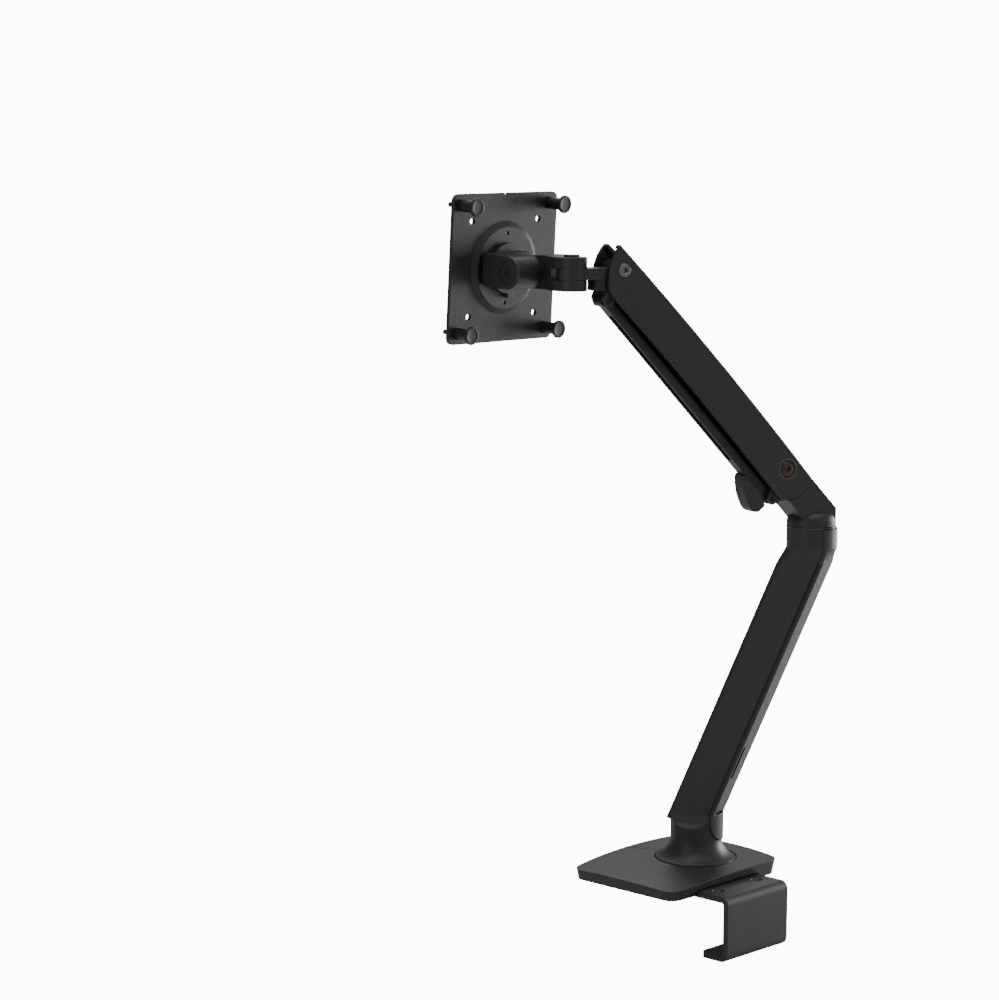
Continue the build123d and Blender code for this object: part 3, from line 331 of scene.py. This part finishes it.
def turned(name, place, axis, outline, around=96, soften=0.00035):
    """A turned piece as a surface of two parameters.

    The parameters are s, along the outline, and a, the angle round the axis. The point is the
    place, plus the outline's height at s along the axis, plus its radius at s times k in the
    direction (cos a, sin a) across the axis. k is 1 on a round part. On a hexagonal part it is
    the hexagon's radius at angle a, over its corner radius.
    """
    rings = softened(outline, soften)
    upright = Vector(axis).normalized()
    across = upright.orthogonal().normalized()
    third = upright.cross(across)
    angle = np.linspace(0.0, 2 * pi, around, endpoint=False)
    flat = cos(pi / 6) / np.cos(np.mod(angle, pi / 3) - pi / 6)
    radius, height, hexness = rings[:, :1], rings[:, 1:2], rings[:, 2:3]
    reach = radius * (1 + hexness * (flat[None, :] - 1))
    points = (np.array(place)[None, None, :]
              + height[:, :, None] * np.array(upright)
              + (reach * np.cos(angle))[:, :, None] * np.array(across)
              + (reach * np.sin(angle))[:, :, None] * np.array(third))
    count = len(rings)
    row, column = np.meshgrid(np.arange(count - 1), np.arange(around), indexing="ij")
    after = (column + 1) % around
    quads = np.stack([row * around + column, row * around + after,
                      (row + 1) * around + after, (row + 1) * around + column], axis=-1)
    mesh = bpy.data.meshes.new(name)
    mesh.from_pydata(points.reshape(-1, 3).tolist(), [], quads.reshape(-1, 4).tolist())
    mesh.polygons.foreach_set("use_smooth", np.ones(len(mesh.polygons), dtype=bool))
    mesh.update()
    piece = bpy.data.objects.new(name, mesh)
    bpy.context.scene.collection.objects.link(piece)
    return piece


def settle(piece, body, finish, slot, *stands_for):
    """Give a new piece its finish and the body it moves with, and hide the nodes it stands for. The slot is not
    used.
    """
    piece.data.materials.append(finishes[finish])
    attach(piece, body)
    if stands_for:
        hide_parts(*stands_for)


joint_of = {joint["name"]: joint for joint in frame["joints"]}
mm = 0.001
tip = 0.00002                # radius of the pinhole left where a piece meets its axis


def outline_mm(*points):
    """An outline given in millimetres; a third item of 1 marks a hexagonal part."""
    return [(max(radius * mm, tip), height * mm, hexness[0] if hexness else 0.0)
            for radius, height, *hexness in points]


screen = Vector(joint_of["plate_turn"]["axis"])
plate_face = Vector(joint_of["plate_turn"]["pos_m"])
# Thread, thin shank through the plate, neck, then a head with a shallow dish in its face.
thumb_outline = outline_mm(
    (0, -11), (1.45, -11), (1.95, -10.4), (1.95, -0.6), (1.5, -0.6), (1.5, 3.1), (4.75, 3.1),
    (4.75, 17.0), (4.3, 17.9), (6.9, 18.0), (7.25, 18.5), (7.25, 20.2), (6.6, 20.8), (5.2, 20.8),
    (4.9, 20.45), (0, 20.45))
for number in (1, 2, 3, 4):
    thumb = f"thumb_{number}"
    screw_place = Vector(joint_of[f"{thumb}_spin"]["pos_m"])
    foot_place = screw_place - screen * (screw_place - plate_face).dot(screen)
    piece = turned(f"{thumb}_screw_look", foot_place, -screen, thumb_outline)
    settle(piece, thumb, "thumb_plastic", "thumb_plastic", f"thumb_screw_{number}")

lift_axis = Vector(joint_of["arm_lift"]["axis"])
pivot_place = Vector(joint_of["arm_lift"]["pos_m"])
front_place = Vector(joint_of["clevis_level"]["pos_m"])
# Shank, then a domed head with a groove round it and a hexagonal socket.
pivot_outline = outline_mm(
    (0, 4.2), (5.0, 4.2), (5.0, 12.15), (7.25, 12.15), (7.25, 12.9), (6.4, 13.2), (6.15, 12.95),
    (5.6, 13.05), (5.3, 13.5), (4.0, 13.85), (2.5, 14.1), (2.31, 13.4, 1), (2.31, 12.2, 1), (0, 12.2))
# Lighter grey rim round the screw's seat in the casing.
ring_outline = outline_mm(
    (7.45, 12.4), (8.3, 13.2), (8.45, 13.5), (8.1, 13.64), (7.75, 13.62), (7.58, 13.35), (7.45, 12.4))
for side, word in ((1, "far"), (-1, "near")):
    piece = turned(f"pivot_screw_{word}", pivot_place, side * lift_axis, pivot_outline)
    settle(piece, "upper_arm", "pivot_bronze", "steel_pin", "pivot_screws")
    piece = turned(f"pivot_ring_{word}", pivot_place, side * lift_axis, ring_outline,
                   soften=0.0001)
    settle(piece, "upper_arm", "light_rim", "powder_coat")

# Pin from the nut on one side to a socket head on the other.
pin_outline = outline_mm(
    (0, -13.3), (4.0, -13.3), (4.0, 12.15), (5.6, 12.15), (5.6, 13.4), (5.0, 14.0), (3.1, 14.0),
    (2.3, 13.7, 1), (2.3, 11.6, 1), (0, 11.6))
piece = turned("front_pin_look", front_place, -lift_axis, pin_outline)
settle(piece, "upper_arm", "steel_pin", "steel_pin", "front_pin")

# Cap over the tilt screw.
cap_outline = outline_mm(
    (0, 29.0), (8.6, 29.0), (8.6, 30.9), (8.0, 31.5), (3.3, 31.5), (3.0, 31.3, 1), (3.0, 29.8, 1),
    (0, 29.8))
piece = turned("tilt_cap_look", Vector(joint_of["head_tilt"]["pos_m"]), (1, 0, 0), cap_outline)
settle(piece, "tilt", "cover_plastic", "cover_plastic", "tilt_cap")

# Upright screw of the fork.
head_outline = outline_mm(
    (0, -12.55), (4.0, -12.55), (4.0, 12.15), (6.2, 12.15), (6.2, 14.1), (5.3, 15.05), (3.0, 15.05),
    (2.31, 14.6, 1), (2.31, 13.35, 1), (0, 13.35))
piece = turned("head_screw_look", Vector(joint_of["head_swivel"]["pos_m"]), (0, 0, 1), head_outline)
settle(piece, "fork", "black_steel", "black_steel", "head_screw")

# ------------------------------------------------------------------ surroundings
middle = (0.05, 0.05, 0.3)   # what the lights look at
backdrop_glow = 12.0         # brightness of what the camera sees behind the object
room_glow = 0.22             # brightness of the room that lights it
floor_half = 6.0             # half of the floor's side
floor_mesh = bpy.data.meshes.new("floor")
floor_mesh.from_pydata([(x * floor_half, y * floor_half, floor_level)
                        for x, y in ((-1, -1), (1, -1), (1, 1), (-1, 1))], [], [(0, 1, 2, 3)])
floor = bpy.data.objects.new("floor", floor_mesh)
bpy.context.scene.collection.objects.link(floor)
floor_finish = Finish("pale_floor", Base_Color=(0.8, 0.8, 0.8, 1.0), Roughness=0.8,
                      Emission_Strength=backdrop_glow)
# Only the camera sees the floor glow, so it whitens the picture without lighting the object.
seen = floor_finish.place.node("ShaderNodeLightPath")
floor_mesh.materials.append(floor_finish.feed(Emission_Color=seen))


def soft_light(name, place, size, power):
    """Rectangular area light that looks at the middle of the object."""
    data = bpy.data.lights.new(name, "AREA")
    data.shape = "RECTANGLE"
    data.size, data.size_y = size
    data.energy = power
    lamp = bpy.data.objects.new(name, data)
    direction = Vector(middle) - Vector(place)
    lamp.matrix_world = (Matrix.Translation(place)
                         @ direction.to_track_quat("-Z", "Y").to_matrix().to_4x4())
    bpy.context.scene.collection.objects.link(lamp)


soft_light("overhead", (0.1, 0.1, 2.3), (2.2, 2.2), 34)
soft_light("right", (-2.2, 0.5, 0.25), (1.0, 1.2), 62)
soft_light("left", (2.3, 0.1, 0.9), (0.9, 1.6), 7)
soft_light("front", (-0.2, 2.4, 1.2), (1.0, 1.0), 6)
soft_light("behind", (-1.2, -1.2, 1.5), (1.2, 1.2), 10)

world = bpy.data.worlds.new("studio")
bpy.context.scene.world = world
world.use_nodes = True
background = world.node_tree.nodes["Background"]
background.inputs["Color"].default_value = (1.0, 1.0, 1.0, 1.0)
camera_ray = Socket(world.node_tree, None).node("ShaderNodeLightPath")
glow = camera_ray * (backdrop_glow - room_glow) + room_glow
world.node_tree.links.new(glow.output, background.inputs["Strength"])

heading, drop = radians(view_heading), radians(view_drop)
forward = Vector((cos(heading) * cos(drop), sin(heading) * cos(drop), -sin(drop)))
camera_data = bpy.data.cameras.new("camera")
camera_data.lens = lens
camera_data.sensor_width = sensor
camera_data.clip_end = far_clip
camera = bpy.data.objects.new("camera", camera_data)
camera.matrix_world = (Matrix.Translation(view_from)
                       @ forward.to_track_quat("-Z", "Y").to_matrix().to_4x4()
                       @ Matrix.Rotation(radians(view_roll), 4, "Z"))
bpy.context.scene.collection.objects.link(camera)
bpy.context.scene.camera = camera
